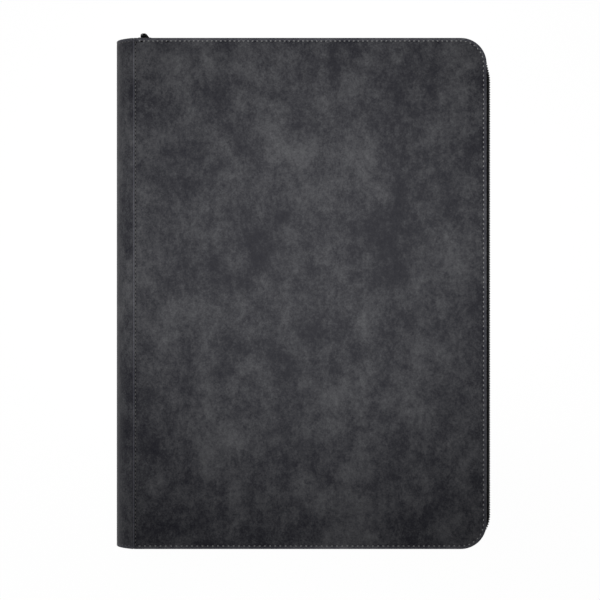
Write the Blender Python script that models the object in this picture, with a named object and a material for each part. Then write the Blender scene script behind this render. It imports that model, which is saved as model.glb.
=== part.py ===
"""Zip-round card binder, lying closed on its back cover.

+X runs from the rounded spine to the fore-edge, +Y from tail to head, +Z from the back
cover up to the front cover. The origin is the middle of the back cover's outer face.
Two leather-covered panels hinge on a rounded spine, ten pocket pages hinge on a comb
inside the spine, and a zip wall closes head, fore-edge and tail.
"""

import math

import bmesh
import bpy
from mathutils import Matrix

MM = 0.001

# Driving dimensions of the case.
COVER_WIDTH = 287.5 * MM  # spine seam to fore-edge
COVER_HEIGHT = 415.2 * MM  # tail to head
CORNER_RADIUS = 21 * MM  # plan radius of the fore-edge corners
BINDER_DEPTH = 50 * MM  # outer face to outer face, zipped
SPINE_BULGE = 15 * MM  # how far the rounded spine stands out from the seam

# Layers of a cover and of the spine, from outside to inside.
SKIN_THICK = 1.0 * MM
BOARD_THICK = 2.2 * MM
LINING_THICK = 0.5 * MM
SPINE_BOARD_THICK = 1.6 * MM
EDGE_ROUND = 1.4 * MM  # the skin turning over the board's edge
SPINE_END_INSET = 2.0 * MM  # spine board and lining stop short of the skin's ends
FIT_GAP = 0.3 * MM  # glue line between layers, and running clearance

# Zip wall: a gusset strip sewn to each cover, then the tape, then the teeth.
GUSSET_THICK = 1.0 * MM
GUSSET_HEIGHT = 10.0 * MM
TAPE_THICK = 0.7 * MM
TAPE_LAP = 3.0 * MM  # the tape's overlap on the gusset
TEETH_DEPTH = 2.2 * MM  # across the tape
TEETH_HEIGHT = 2.2 * MM  # along the tape's width
TEETH_SPACE = 1.6 * MM  # between the two rows, where the slider's post runs
WALL_BULGE = 4.0 * MM  # how far the wall bows out between cover and teeth
ZIP_REACH_FORE = 4.1 * MM  # the tape's middle beyond the fore-edge
ZIP_REACH_SIDE = 1.0 * MM  # the tape's middle beyond head, tail and corners
BULGE_BEND = 20.0 * MM  # along the edge, where the zip bends from one reach to the other
BULGE_HEAD_Y = 175.0 * MM  # the full bulge's end towards the head
BULGE_TAIL_Y = -182.0 * MM  # the full bulge's end towards the tail
ZIP_START = 0.5 * MM  # from the spine seam to the tape's end
STOP_LENGTH = 1.4 * MM
BOTTOM_STOP_LENGTH = 4.0 * MM

# Slider and puller.
SLIDER_LENGTH = 11.0 * MM
SLIDER_NOSE_WIDTH = 9.0 * MM
SLIDER_TAIL_WIDTH = 7.6 * MM
SLIDER_PLATE = 0.9 * MM
SLIDER_POST_LENGTH = 3.0 * MM
SLIDER_LIP_HEIGHT = 0.8 * MM
BAIL_FRONT = 3.6 * MM  # the bail's upright post, ahead of the slider's middle
BAIL_BACK = 4.3 * MM  # the foot of its sloping back, behind the slider's middle
BAIL_THICK = 0.9 * MM
BAIL_SHOULDER = 1.0 * MM  # how far the bail rises on both sides of the link
LINK_INNER_RADIUS = 1.2 * MM
LINK_THICK = 0.7 * MM
LINK_WIDTH = 2.6 * MM
LINK_STRETCH = 1.4 * MM  # straight sides between the link's two round ends
TAB_LENGTH = 19.0 * MM
TAB_WIDTH = 6.0 * MM
TAB_THICK = 1.0 * MM
TAB_HEAD_BAR = 0.8 * MM  # material above the tab's slot

# Pocket pages and the comb that holds them.
PAGE_COUNT = 10
PAGE_LEAD = 4.5 * MM  # from a cover's lining to the middle of the page next to it
PAGE_SIDE_MARGIN = 10 * MM  # page's head and tail inside the cover's
PAGE_FORE_MARGIN = 10 * MM  # page's edge to the cover's fore-edge
PAGE_CORNER = 10 * MM
BACKING_THICK = 0.8 * MM
TONGUE_THICK = 0.5 * MM
TONGUE_LENGTH = 8.0 * MM
BEAD_RADIUS = 0.7 * MM
FILM_THICK = 0.3 * MM
FILM_MARGIN = 3.0 * MM
POCKET_COLUMNS = 3
POCKET_ROWS = 3
POCKET_MOUTH = 1.5 * MM  # width of the slit that a holder slides in by
POCKET_SEAM = 5.0 * MM  # welded land between pockets
COMB_THICK = 2.6 * MM
PIVOT_PROUD = 0.3 * MM  # the bead's middle in front of the comb's face, so a page can swing

# Facets.
CORNER_STEPS = 8
CORNER_FINE = 54.0  # degrees from the head, where a corner's finer steps begin
CORNER_COARSE_STEPS = 4
CORNER_FINE_STEPS = 6
BULGE_BEND_STEPS = 5
SPINE_STEPS = 18
WALL_STEPS = 4
BEAD_STEPS = 8
LINK_STEPS = 16

# Places that follow from the driving dimensions.
SEAM_X = -COVER_WIDTH / 2
FORE_X = COVER_WIDTH / 2
HEAD_Y = COVER_HEIGHT / 2
MIDDLE_Z = BINDER_DEPTH / 2
COVER_STACK = SKIN_THICK + BOARD_THICK + LINING_THICK + 2 * FIT_GAP
TEETH_INNER = TEETH_SPACE / 2  # from the middle plane to a row of teeth
TEETH_OUTER = TEETH_INNER + TEETH_HEIGHT
TAPE_EDGE = TEETH_OUTER + FIT_GAP  # from the middle plane to the tape
WALL_FOOT = MIDDLE_Z - COVER_STACK - FIT_GAP  # from the middle plane to the gusset's foot
GUSSET_EDGE = WALL_FOOT - GUSSET_HEIGHT
GUSSET_INSET = (GUSSET_THICK + TAPE_THICK) / 2 + FIT_GAP  # gusset's middle inside the tape's
ZIP_Y = HEAD_Y + ZIP_REACH_SIDE
TEETH_HEAD_X = SEAM_X + ZIP_START + STOP_LENGTH + FIT_GAP
TEETH_TAIL_X = SEAM_X + ZIP_START + BOTTOM_STOP_LENGTH + FIT_GAP
SLIDER_X = TEETH_HEAD_X + FIT_GAP + SLIDER_LENGTH / 2  # its nose against the top stops
SLIDER_CHANNEL = TEETH_DEPTH / 2 + FIT_GAP  # from the tape's middle to a plate
LINK_DROP = LINK_INNER_RADIUS - BAIL_THICK / 2 - FIT_GAP  # link's middle below the bail's
LINK_REACH = LINK_INNER_RADIUS + LINK_THICK
LINK_X = -BAIL_FRONT + BAIL_THICK + FIT_GAP + LINK_WIDTH / 2  # from the slider's middle
BAIL_Y = SLIDER_CHANNEL + SLIDER_PLATE + LINK_REACH + FIT_GAP  # bail's middle from the tape's
COMB_FACE_X = SEAM_X - FIT_GAP  # plane of the comb's face and of the spine's two edges
SPINE_CHORD = BINDER_DEPTH - 2 * SKIN_THICK
SPINE_RADIUS = (SPINE_CHORD**2 / 4 + SPINE_BULGE**2) / (2 * SPINE_BULGE)
SPINE_CENTRE_X = COMB_FACE_X - SPINE_BULGE + SPINE_RADIUS
PIVOT_X = COMB_FACE_X + PIVOT_PROUD
PAGE_HEIGHT = COVER_HEIGHT - 2 * PAGE_SIDE_MARGIN
PAGE_PITCH = (BINDER_DEPTH - 2 * (COVER_STACK + PAGE_LEAD)) / (PAGE_COUNT - 1)


def clear_scene():
    for thing in list(bpy.data.objects):
        bpy.data.objects.remove(thing)


def finish(name, red, green, blue, roughness, metallic=0.0):
    """One Principled finish: colour, roughness and metallic value."""
    made = bpy.data.materials.new(name)
    made.use_nodes = True
    shader = made.node_tree.nodes["Principled BSDF"]
    shader.inputs["Base Color"].default_value = (red, green, blue, 1.0)
    shader.inputs["Roughness"].default_value = roughness
    shader.inputs["Metallic"].default_value = metallic
    return made


def place(name, mesh, material, parent=None, location=(0, 0, 0)):
    """A named object for one sub-part, with its finish and its place under its parent."""
    thing = bpy.data.objects.new(name, mesh)
    bpy.context.scene.collection.objects.link(thing)
    if not mesh.materials:
        mesh.materials.append(material)
    thing.parent = parent
    thing.location = location
    return thing


def hinge(name, location, parent=None):
    """An empty on a joint's axis. What turns about the axis hangs under it."""
    empty = bpy.data.objects.new(name, None)
    bpy.context.scene.collection.objects.link(empty)
    empty.parent = parent
    empty.location = location
    return empty


def mesh_of(name, bm, smooth_angle=None):
    """The bmesh as mesh data, with its faces turned outwards."""
    bmesh.ops.recalc_face_normals(bm, faces=bm.faces)
    mesh = bpy.data.meshes.new(name)
    bm.to_mesh(mesh)
    bm.free()
    if smooth_angle is not None:
        mesh.shade_smooth()
        mesh.set_sharp_from_angle(angle=math.radians(smooth_angle))
    return mesh


def extruded(points, direction):
    """A bmesh of a flat outline pushed along a direction."""
    bm = bmesh.new()
    face = bm.faces.new([bm.verts.new(point) for point in points])
    pushed = bmesh.ops.extrude_face_region(bm, geom=[face])
    verts = [part for part in pushed["geom"] if isinstance(part, bmesh.types.BMVert)]
    bmesh.ops.translate(bm, verts=verts, vec=direction)
    return bm


def swept(sections):
    """A bmesh of equal closed sections joined one after the other, with capped ends."""
    bm = bmesh.new()
    rings = [[bm.verts.new(point) for point in section] for section in sections]
    for near, far in zip(rings, rings[1:]):
        for i, vert in enumerate(near):
            after = (i + 1) % len(near)
            bm.faces.new((vert, near[after], far[after], far[i]))
    bm.faces.new(rings[0])
    bm.faces.new(rings[-1])
    return bm


def fused(name, solids):
    """Mesh data of several overlapping bmeshes joined by Boolean unions."""
    parts = [place(f"{name}_{i}", mesh_of(name, bm), None) for i, bm in enumerate(solids)]
    for part in parts[1:]:
        union = parts[0].modifiers.new("union", "BOOLEAN")
        union.operation = "UNION"
        union.object = part
    graph = bpy.context.evaluated_depsgraph_get()
    mesh = bpy.data.meshes.new_from_object(parts[0].evaluated_get(graph))
    for part in parts:
        bpy.data.objects.remove(part)
    mesh.materials.clear()
    return mesh


def box(x0, x1, y0, y1, z0, z1):
    """A bmesh block between two corners."""
    return extruded([(x0, y0, z0), (x1, y0, z0), (x1, y1, z0), (x0, y1, z0)], (0, 0, z1 - z0))


def edge_points():
    """Points along the cover's head, fore-edge and tail, each with its outward direction.

    Two quarter circles round the fore corners, in finer steps at their fore ends, and points along the
    fore-edge where the zip bends out to its bulge and back.
    """
    centre_x = FORE_X - CORNER_RADIUS
    centre_y = HEAD_Y - CORNER_RADIUS
    coarse = [CORNER_FINE * step / CORNER_COARSE_STEPS for step in range(CORNER_COARSE_STEPS)]
    rest = (90 - CORNER_FINE) / CORNER_FINE_STEPS
    fine = [CORNER_FINE + rest * step for step in range(CORNER_FINE_STEPS + 1)]
    turns = [math.radians(degrees) for degrees in coarse + fine]
    corner = [
        (
            centre_x + CORNER_RADIUS * math.sin(turn),
            centre_y + CORNER_RADIUS * math.cos(turn),
            math.sin(turn),
            math.cos(turn),
        )
        for turn in turns
    ]
    step = BULGE_BEND / BULGE_BEND_STEPS
    bends = [step * number for number in range(1, BULGE_BEND_STEPS + 1)]
    fore = [(FORE_X, centre_y - bend, 1, 0) for bend in bends]
    fore += [(FORE_X, bend - centre_y, 1, 0) for bend in reversed(bends)]
    tail = [(x, -y, out_x, -out_y) for x, y, out_x, out_y in reversed(corner)]
    return corner + fore + tail


def bulge_share(y):
    """How much of its fore-edge reach the zip has at a place: 0 at the corners, 1 along the fore-edge."""
    beyond = max(y - BULGE_HEAD_Y, BULGE_TAIL_Y - y)
    share = min(max(1 - beyond / BULGE_BEND, 0), 1)
    return share * share * (3 - 2 * share)


def rim_line(out, head_x, tail_x):
    """Points along the zip's way round head, fore-edge and tail, moved outwards by a distance.

    It starts at head_x on the head side and ends at tail_x on the tail side.
    """
    spread = ZIP_REACH_FORE - ZIP_REACH_SIDE
    line = [(head_x, ZIP_Y + out)]
    for x, y, out_x, out_y in edge_points():
        reach = ZIP_REACH_SIDE + spread * bulge_share(y) + out
        line.append((x + out_x * reach, y + out_y * reach))
    return line + [(tail_x, -ZIP_Y - out)]


def panel_outline(inset):
    """The cover's outline drawn in by an inset, as seen from above."""
    radius = CORNER_RADIUS - inset
    centre_x = FORE_X - CORNER_RADIUS
    centre_y = HEAD_Y - CORNER_RADIUS
    turns = [math.pi / 2 * step / CORNER_STEPS for step in range(CORNER_STEPS + 1)]
    corner = [(centre_x + radius * math.sin(a), centre_y + radius * math.cos(a)) for a in turns]
    tail = [(x, -y) for x, y in reversed(corner)]
    return [(SEAM_X + inset, HEAD_Y - inset)] + corner + tail + [(SEAM_X + inset, inset - HEAD_Y)]


def cover_height(depth, is_front):
    """Height of a layer that lies a depth below a cover's outer face."""
    return BINDER_DEPTH - depth if is_front else depth


def skin_mesh(name, is_front):
    """A cover's leather: a shallow tray whose rim turns over the board's edge."""
    outline = panel_outline(0)
    outer = cover_height(0, is_front)
    inner = cover_height(COVER_STACK, is_front)
    bm = extruded([(x, y, inner) for x, y in outline], (0, 0, outer - inner))
    bm.faces.ensure_lookup_table()
    rim_edges = [e for e in bm.edges if all(abs(v.co.z - outer) < FIT_GAP / 10 for v in e.verts)]
    bmesh.ops.bevel(
        bm, geom=rim_edges, offset=EDGE_ROUND, segments=3, profile=0.5, affect="EDGES"
    )
    mouth = max(bm.faces, key=lambda f: (abs(f.calc_center_median().z - outer), f.calc_area()))
    bmesh.ops.inset_region(bm, faces=[mouth], thickness=SKIN_THICK, use_even_offset=True)
    pushed = bmesh.ops.extrude_face_region(bm, geom=[mouth])
    bmesh.ops.delete(bm, geom=[mouth], context="FACES_ONLY")
    verts = [part for part in pushed["geom"] if isinstance(part, bmesh.types.BMVert)]
    cavity = cover_height(SKIN_THICK, is_front) - inner
    bmesh.ops.translate(bm, verts=verts, vec=(0, 0, cavity))
    return mesh_of(name, bm, smooth_angle=50)


def layer_mesh(name, depth, thick, is_front):
    """A flat layer that fills the skin's tray: the board or the lining."""
    outline = panel_outline(SKIN_THICK + FIT_GAP)
    near = cover_height(depth, is_front)
    far = cover_height(depth + thick, is_front)
    return mesh_of(name, extruded([(x, y, near) for x, y in outline], (0, 0, far - near)))


def bow(height):
    """How far the zip wall bows out, that far from the middle plane: a quarter sine."""
    share = (WALL_FOOT - height) / WALL_FOOT
    return WALL_BULGE * math.sin(math.pi / 2 * share)


def wall_mesh(name, near, far, inset, thick, is_front):
    """A strip of the zip wall, from near to far of the middle plane, following the bow."""
    sign = 1 if is_front else -1
    heights = [near + (far - near) * step / WALL_STEPS for step in range(WALL_STEPS + 1)]
    outer = [(bow(h) - inset + thick / 2, MIDDLE_Z + sign * h) for h in heights]
    inner = [(bow(h) - inset - thick / 2, MIDDLE_Z + sign * h) for h in reversed(heights)]
    return rim_mesh(name, outer + inner, SEAM_X + ZIP_START, SEAM_X + ZIP_START)


def rim_mesh(name, profile, head_x, tail_x):
    """A closed profile of (outward, height) points carried round the three zipped sides."""
    lines = [rim_line(out - WALL_BULGE, head_x, tail_x) for out, _ in profile]
    heights = [height for _, height in profile]
    sections = [
        [(x, y, z) for (x, y), z in zip(section, heights)] for section in zip(*lines)
    ]
    return mesh_of(name, swept(sections), smooth_angle=40)


def teeth_mesh(name, is_front):
    """One row of teeth as a plain cord with chamfered edges, ending at its stops."""
    sign = 1 if is_front else -1
    half = TEETH_DEPTH / 2
    chamfer = TEETH_DEPTH / 4
    profile = [
        (WALL_BULGE - half + chamfer, MIDDLE_Z + sign * TEETH_INNER),
        (WALL_BULGE + half - chamfer, MIDDLE_Z + sign * TEETH_INNER),
        (WALL_BULGE + half, MIDDLE_Z + sign * (TEETH_INNER + chamfer)),
        (WALL_BULGE + half, MIDDLE_Z + sign * TEETH_OUTER),
        (WALL_BULGE - half, MIDDLE_Z + sign * TEETH_OUTER),
        (WALL_BULGE - half, MIDDLE_Z + sign * (TEETH_INNER + chamfer)),
    ]
    return rim_mesh(name, profile, TEETH_HEAD_X, TEETH_TAIL_X)


def spine_mesh(name, depth, thick, end_inset):
    """One layer of the rounded spine: an arc of constant thickness, tail to head."""

    def arc(r):
        reach = math.acos((SPINE_CENTRE_X - COMB_FACE_X) / r)
        turns = [reach * (2 * step / SPINE_STEPS - 1) for step in range(SPINE_STEPS + 1)]
        return [(SPINE_CENTRE_X - r * math.cos(a), MIDDLE_Z + r * math.sin(a)) for a in turns]

    section = arc(SPINE_RADIUS - depth) + arc(SPINE_RADIUS - depth - thick)[::-1]
    tail = -HEAD_Y + end_inset
    points = [(x, tail, z) for x, z in section]
    return mesh_of(name, extruded(points, (0, -2 * tail, 0)), smooth_angle=40)


def page_height(index):
    """Height of a page's pivot. Page 0 lies next to the back cover."""
    return MIDDLE_Z + PAGE_PITCH * (index - (PAGE_COUNT - 1) / 2)


def comb_mesh(name):
    """The strip that closes the spine's hollow, with a round groove for each page's bead."""
    lining_depth = SKIN_THICK + SPINE_BOARD_THICK + LINING_THICK + 2 * FIT_GAP
    seat_radius = SPINE_RADIUS - lining_depth - FIT_GAP
    back_x = COMB_FACE_X - COMB_THICK

    def reach(x):
        return math.sqrt(seat_radius**2 - (SPINE_CENTRE_X - x) ** 2)

    groove = BEAD_RADIUS + FIT_GAP
    open_angle = math.acos(-PIVOT_PROUD / groove)
    section = [
        (back_x, MIDDLE_Z - reach(back_x)),
        (COMB_FACE_X, MIDDLE_Z - reach(COMB_FACE_X)),
    ]
    for index in range(PAGE_COUNT):
        for step in range(BEAD_STEPS + 1):
            angle = open_angle + (2 * math.pi - 2 * open_angle) * step / BEAD_STEPS
            x = PIVOT_X + groove * math.cos(angle)
            section.append((x, page_height(index) - groove * math.sin(angle)))
    section += [
        (COMB_FACE_X, MIDDLE_Z + reach(COMB_FACE_X)),
        (back_x, MIDDLE_Z + reach(back_x)),
    ]
    points = [(x, -PAGE_HEIGHT / 2, z) for x, z in section]
    return mesh_of(name, extruded(points, (0, PAGE_HEIGHT, 0)), smooth_angle=40)


def backing_mesh(name):
    """A page's stiff sheet with its thin flexible tongue and the bead at its root.

    It is modelled about its own pivot, so that the bead's middle is the mesh's origin.
    """
    width = FORE_X - PAGE_FORE_MARGIN - PIVOT_X
    start = math.asin(TONGUE_THICK / 2 / BEAD_RADIUS)
    turns = [start + (2 * math.pi - 2 * start) * step / BEAD_STEPS for step in range(BEAD_STEPS + 1)]
    bead = [(BEAD_RADIUS * math.cos(a), BEAD_RADIUS * math.sin(a)) for a in turns]
    sheet = [
        (TONGUE_LENGTH, -TONGUE_THICK / 2),
        (TONGUE_LENGTH, -BACKING_THICK / 2),
        (width, -BACKING_THICK / 2),
        (width, BACKING_THICK / 2),
        (TONGUE_LENGTH, BACKING_THICK / 2),
        (TONGUE_LENGTH, TONGUE_THICK / 2),
    ]
    points = [(x, -PAGE_HEIGHT / 2, z) for x, z in bead + sheet]
    bm = extruded(points, (0, PAGE_HEIGHT, 0))
    corners = [
        e
        for e in bm.edges
        if all(abs(v.co.x - width) < FIT_GAP / 10 for v in e.verts)
        and abs(e.verts[0].co.y - e.verts[1].co.y) < FIT_GAP / 10
    ]
    bmesh.ops.bevel(
        bm, geom=corners, offset=PAGE_CORNER, segments=4, profile=0.5, affect="EDGES"
    )
    return mesh_of(name, bm, smooth_angle=40)


def film_mesh(name):
    """A clear sheet welded over one side of a page, with a slit as each pocket's mouth.

    It is modelled about the page's pivot, with its near face on the pivot's plane.
    """
    left = TONGUE_LENGTH + FILM_MARGIN
    right = FORE_X - PAGE_FORE_MARGIN - PIVOT_X - FILM_MARGIN
    top = PAGE_HEIGHT / 2 - FILM_MARGIN
    column = (right - left) / POCKET_COLUMNS
    row = 2 * top / POCKET_ROWS
    x_lines = [left]
    for index in range(POCKET_COLUMNS):
        mouth = left + column * index + POCKET_SEAM
        x_lines += [mouth, mouth + POCKET_MOUTH]
    x_lines.append(right)
    y_lines = [-top]
    for index in range(POCKET_ROWS):
        low = -top + row * index
        y_lines += [low + POCKET_SEAM, low + row - POCKET_SEAM]
    y_lines.append(top)
    bm = bmesh.new()
    verts = [[bm.verts.new((x, y, 0)) for x in x_lines] for y in y_lines]
    for j in range(len(y_lines) - 1):
        for i in range(len(x_lines) - 1):
            is_mouth = i % 2 == 1 and j % 2 == 1
            if not is_mouth:
                bm.faces.new((verts[j][i], verts[j][i + 1], verts[j + 1][i + 1], verts[j + 1][i]))
    pushed = bmesh.ops.extrude_face_region(bm, geom=bm.faces[:], use_keep_orig=True)
    raised = [part for part in pushed["geom"] if isinstance(part, bmesh.types.BMVert)]
    bmesh.ops.translate(bm, verts=raised, vec=(0, 0, FILM_THICK))
    return mesh_of(name, bm)


def slider_plate(side):
    """One of the slider's two plates: wide at the nose, narrow at the tail, corners cut."""
    half_length = SLIDER_LENGTH / 2
    nose = SLIDER_NOSE_WIDTH / 2
    tail = SLIDER_TAIL_WIDTH / 2
    cut = SLIDER_PLATE
    outline = [
        (-half_length, nose - cut),
        (-half_length + cut, nose),
        (half_length - cut, tail),
        (half_length, tail - cut),
    ]
    outline += [(x, -z) for x, z in reversed(outline)]
    near = side * SLIDER_CHANNEL
    points = [(x, near, z) for x, z in outline]
    return extruded(points, (0, side * SLIDER_PLATE, 0))


def slider_mesh(name):
    """Two plates joined by the nose post, lips that keep it on the back tape, and the bail.

    The bail is a thin fin, notched where the link runs round it, with a solid sloping back.
    """
    half_length = SLIDER_LENGTH / 2
    bite = SLIDER_PLATE / 2
    post_half = TEETH_INNER - FIT_GAP
    post = box(
        -half_length + bite,
        -half_length + bite + SLIDER_POST_LENGTH,
        -SLIDER_CHANNEL - bite,
        SLIDER_CHANNEL + bite,
        -post_half,
        post_half,
    )
    lip_top = -TEETH_OUTER - FIT_GAP
    slot = TAPE_THICK / 2 + FIT_GAP
    lips = [
        box(
            -half_length + bite,
            half_length - bite,
            min(side * slot, side * (SLIDER_CHANNEL + bite)),
            max(side * slot, side * (SLIDER_CHANNEL + bite)),
            lip_top - SLIDER_LIP_HEIGHT,
            lip_top,
        )
        for side in (-1, 1)
    ]
    foot = SLIDER_CHANNEL + SLIDER_PLATE - bite
    over = BAIL_Y + BAIL_THICK / 2
    under = BAIL_Y - BAIL_THICK / 2
    slope_end = LINK_X + LINK_WIDTH / 2 + FIT_GAP
    notch_start = -BAIL_FRONT + BAIL_THICK
    crest = over + BAIL_SHOULDER
    bail_outline = [
        (-BAIL_FRONT, foot),
        (-BAIL_FRONT, crest - BAIL_THICK / 2),
        (notch_start - BAIL_THICK / 2, crest),
        (notch_start, crest),
        (notch_start, over),
        (slope_end, over),
        (slope_end, crest),
        (slope_end + BAIL_THICK / 2, crest),
        (BAIL_BACK, foot),
        (slope_end, foot),
        (slope_end, under),
        (notch_start, under),
        (notch_start, foot),
    ]
    bail = extruded([(x, y, -BAIL_THICK / 2) for x, y in bail_outline], (0, 0, BAIL_THICK))
    return fused(name, [slider_plate(1), slider_plate(-1), post, *lips, bail])


def link_mesh(name):
    """The strip bent into a long ring that joins the tab to the bail, about the bail's axis.

    A round ring is turned by half a step, so that its lower half can slide down to give straight sides.
    """
    bm = bmesh.new()
    half = LINK_WIDTH / 2
    outer = LINK_INNER_RADIUS + LINK_THICK
    corners = [(-half, LINK_INNER_RADIUS), (half, LINK_INNER_RADIUS), (half, outer), (-half, outer)]
    strip = [bm.verts.new((x, 0, z)) for x, z in corners]
    edges = [bm.edges.new((strip[i - 1], strip[i])) for i in range(len(strip))]
    bmesh.ops.spin(
        bm,
        geom=strip + edges,
        cent=(0, 0, 0),
        axis=(1, 0, 0),
        angle=2 * math.pi,
        steps=LINK_STEPS,
        use_merge=True,
    )
    bmesh.ops.remove_doubles(bm, verts=bm.verts, dist=FIT_GAP / 100)
    half_step = Matrix.Rotation(math.pi / LINK_STEPS, 3, "X")
    bmesh.ops.rotate(bm, verts=bm.verts, cent=(0, 0, 0), matrix=half_step)
    lower_half = [vert for vert in bm.verts if vert.co.z < 0]
    bmesh.ops.translate(bm, verts=lower_half, vec=(0, 0, -LINK_STRETCH))
    bmesh.ops.translate(bm, verts=bm.verts, vec=(0, 0, -LINK_DROP))
    return mesh_of(name, bm, smooth_angle=40)


def tab_mesh(name):
    """The flat puller that hangs in the link, with a slot across its head."""
    slot_z = -LINK_DROP - LINK_STRETCH - LINK_INNER_RADIUS - LINK_THICK / 2
    slot_half = LINK_THICK / 2 + FIT_GAP
    top_z = slot_z + slot_half + TAB_HEAD_BAR
    half = TAB_WIDTH / 2
    end_z = top_z - TAB_LENGTH
    turns = [math.pi * step / CORNER_STEPS for step in range(CORNER_STEPS + 1)]
    end = [(-half * math.cos(a), end_z + half - half * math.sin(a)) for a in turns]
    cut = TAB_HEAD_BAR
    head = [(half, top_z - cut), (half - cut, top_z), (cut - half, top_z), (-half, top_z - cut)]
    points = [(x, -TAB_THICK / 2, z) for x, z in head + end]
    tab = place(f"{name}_blank", mesh_of(name, extruded(points, (0, TAB_THICK, 0))), None)
    slot_width = LINK_WIDTH / 2 + FIT_GAP
    slot = box(-slot_width, slot_width, -TAB_THICK, TAB_THICK, slot_z - slot_half, slot_z + slot_half)
    drill = place(f"{name}_slot", mesh_of(name, slot), None)
    removal = tab.modifiers.new("slot", "BOOLEAN")
    removal.operation = "DIFFERENCE"
    removal.object = drill
    graph = bpy.context.evaluated_depsgraph_get()
    mesh = bpy.data.meshes.new_from_object(tab.evaluated_get(graph))
    mesh.materials.clear()
    for helper in (tab, drill):
        bpy.data.objects.remove(helper)
    mesh.shade_smooth()
    mesh.set_sharp_from_angle(angle=math.radians(40))
    return mesh


def build_cover(side, is_front, parent, finishes):
    """Skin, board, lining and half of the zip wall of one cover."""
    board_depth = SKIN_THICK + FIT_GAP
    lining_depth = board_depth + BOARD_THICK + FIT_GAP
    back = tuple(-value for value in parent.location) if parent else (0, 0, 0)
    place(f"{side}_skin", skin_mesh(side, is_front), finishes["leather"], parent, back)
    place(
        f"{side}_board",
        layer_mesh(side, board_depth, BOARD_THICK, is_front),
        finishes["board"],
        parent,
        back,
    )
    place(
        f"{side}_lining",
        layer_mesh(side, lining_depth, LINING_THICK, is_front),
        finishes["lining"],
        parent,
        back,
    )
    gusset = wall_mesh(side, GUSSET_EDGE, WALL_FOOT, GUSSET_INSET, GUSSET_THICK, is_front)
    place(f"{side}_gusset", gusset, finishes["gusset"], parent, back)
    tape_far = GUSSET_EDGE + TAPE_LAP
    tape = wall_mesh(side, TAPE_EDGE, tape_far, 0, TAPE_THICK, is_front)
    place(f"{side}_zip_tape", tape, finishes["tape"], parent, back)
    place(f"{side}_zip_teeth", teeth_mesh(side, is_front), finishes["teeth"], parent, back)
    stop_x = SEAM_X + ZIP_START
    stop_z = TEETH_INNER if is_front else -TEETH_OUTER
    stop = box(
        stop_x,
        stop_x + STOP_LENGTH,
        ZIP_Y - TEETH_DEPTH / 2,
        ZIP_Y + TEETH_DEPTH / 2,
        MIDDLE_Z + stop_z,
        MIDDLE_Z + stop_z + TEETH_HEIGHT,
    )
    place(f"{side}_top_stop", mesh_of(side, stop), finishes["metal"], parent, back)


def build_spine(parent, finishes):
    """Skin, curved board, lining and page comb of the spine."""
    board_depth = SKIN_THICK + FIT_GAP
    lining_depth = board_depth + SPINE_BOARD_THICK + FIT_GAP
    back = tuple(-value for value in parent.location)
    place("spine_skin", spine_mesh("skin", 0, SKIN_THICK, 0), finishes["leather"], parent, back)
    board = spine_mesh("board", board_depth, SPINE_BOARD_THICK, SPINE_END_INSET)
    place("spine_board", board, finishes["board"], parent, back)
    lining = spine_mesh("lining", lining_depth, LINING_THICK, SPINE_END_INSET)
    place("spine_lining", lining, finishes["lining"], parent, back)
    place("page_comb", comb_mesh("comb"), finishes["comb"], parent, back)


def build_pages(spine, finishes):
    """Each page hangs under an empty on its own pivot: a backing and two pocket sheets."""
    backing = backing_mesh("backing")
    film = film_mesh("film")
    lift = BACKING_THICK / 2 + FIT_GAP
    for index in range(PAGE_COUNT):
        pivot_place = (PIVOT_X - spine.location.x, 0, page_height(index) - spine.location.z)
        pivot = hinge(f"page_{index + 1:02d}_pivot", pivot_place, spine)
        page = f"page_{index + 1:02d}"
        place(f"{page}_backing", backing, finishes["backing"], pivot)
        place(f"{page}_front_pockets", film, finishes["film"], pivot, (0, 0, lift))
        place(f"{page}_back_pockets", film, finishes["film"], pivot, (0, 0, -lift - FILM_THICK))


def build_slider(finishes):
    """The slider on the head side, with the link and tab of its puller hanging from the bail."""
    slider = hinge("slider_seat", (SLIDER_X, ZIP_Y, MIDDLE_Z))
    place("slider_body", slider_mesh("slider"), finishes["metal"], slider)
    puller = hinge("puller_pivot", (LINK_X, BAIL_Y, 0), slider)
    place("puller_link", link_mesh("link"), finishes["metal"], puller)
    place("puller_tab", tab_mesh("tab"), finishes["metal"], puller)


def build_bottom_stop(finishes):
    """The stop at the tail end of the back row, reaching up to just under the front row."""
    start = SEAM_X + ZIP_START
    stop = box(
        start,
        start + BOTTOM_STOP_LENGTH,
        -ZIP_Y - TEETH_DEPTH / 2,
        -ZIP_Y + TEETH_DEPTH / 2,
        MIDDLE_Z - TEETH_OUTER,
        MIDDLE_Z + TEETH_INNER - FIT_GAP,
    )
    place("bottom_stop", mesh_of("bottom_stop", stop), finishes["metal"])


def main():
    clear_scene()
    finishes = {
        "leather": finish("charcoal_leather", 0.053, 0.053, 0.059, 0.62),
        "board": finish("grey_board", 0.32, 0.29, 0.25, 0.9),
        "lining": finish("black_lining", 0.022, 0.022, 0.024, 0.85),
        "gusset": finish("black_gusset", 0.008, 0.008, 0.009, 0.8),
        "tape": finish("black_tape", 0.006, 0.006, 0.007, 0.75),
        "teeth": finish("black_teeth", 0.008, 0.008, 0.009, 0.45),
        "metal": finish("black_metal", 0.01, 0.01, 0.011, 0.35, 0.6),
        "comb": finish("black_comb", 0.015, 0.015, 0.016, 0.6),
        "backing": finish("black_backing", 0.012, 0.012, 0.013, 0.6),
        "film": finish("clear_film", 0.75, 0.77, 0.79, 0.2),
    }
    build_cover("back", False, None, finishes)
    spine = hinge("spine_hinge", (SEAM_X, 0, 0))
    build_spine(spine, finishes)
    build_pages(spine, finishes)
    front = hinge("front_cover_hinge", (SEAM_X, 0, BINDER_DEPTH))
    build_cover("front", True, front, finishes)
    build_bottom_stop(finishes)
    build_slider(finishes)


main()
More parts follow.
